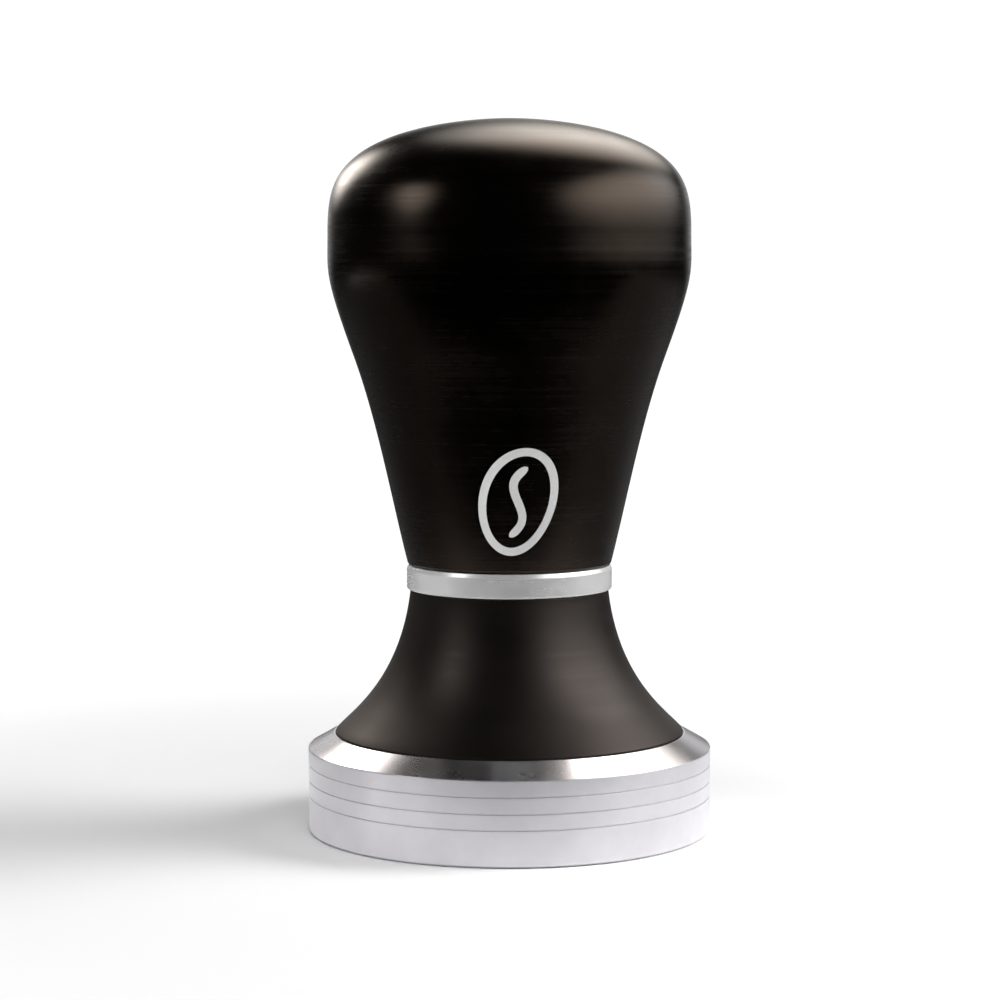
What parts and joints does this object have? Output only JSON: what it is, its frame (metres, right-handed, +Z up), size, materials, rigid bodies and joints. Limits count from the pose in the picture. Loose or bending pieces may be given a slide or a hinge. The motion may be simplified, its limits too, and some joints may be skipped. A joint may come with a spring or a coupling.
{
  "type": "espresso tamper",
  "caption": "Hand tamper for ground coffee: flat round steel piston, flared neck, spacer ring and a domed pear-shaped handle that unscrews.",
  "frame": {"origin": "centre of the flat tamping face, under the common axis of the turned parts", "axes": "+Z up the axis towards the handle's domed top, +X to the user's right and -Y towards the user when the printed mark on the handle faces them"},
  "size_m": [0.0584, 0.0584, 0.1028],
  "materials": {
    "piston_steel": "fine-turned stainless steel, bright",
    "neck_anodised": "dark brown-grey anodised, satin",
    "handle_anodised": "black anodised, satin with fine turning marks",
    "ring_satin": "satin natural",
    "hardware_steel": "plain stainless steel",
    "screw_steel": "black oxide",
    "insert_brass": "machined",
    "seal_rubber": "matte nitrile",
    "mark_ink": "white pad print"
  },
  "bodies": {
    "base": {"base_piston": "piston_steel", "foot_o_ring": "seal_rubber", "neck": "neck_anodised", "dowel_pin_left": "hardware_steel", "dowel_pin_right": "hardware_steel", "shoulder_stud": "hardware_steel", "flat_washer": "hardware_steel", "spring_washer": "hardware_steel"},
    "ring": {"spacer_ring": "ring_satin"},
    "handle": {"handle_body": "handle_anodised", "spigot_o_ring": "seal_rubber", "threaded_insert": "insert_brass", "insert_screw_1": "screw_steel", "insert_screw_2": "screw_steel", "insert_screw_3": "screw_steel"}
  },
  "joints": [
    {"name": "ring_lift", "type": "slide", "parent": "base", "child": "ring", "axis": [0, 0, 1], "range_m": [0, 0.00875]},
    {"name": "handle_unscrew", "type": "hinge", "parent": "ring", "child": "handle", "pos_m": [0, 0, 0.0386], "axis": [0, 0, 1], "range_deg": [0, 2520]}
  ],
  "couplings": [
    {"joint": "ring_lift", "follows": "handle_unscrew", "m_per_rad": 0.00019894}
  ]
}
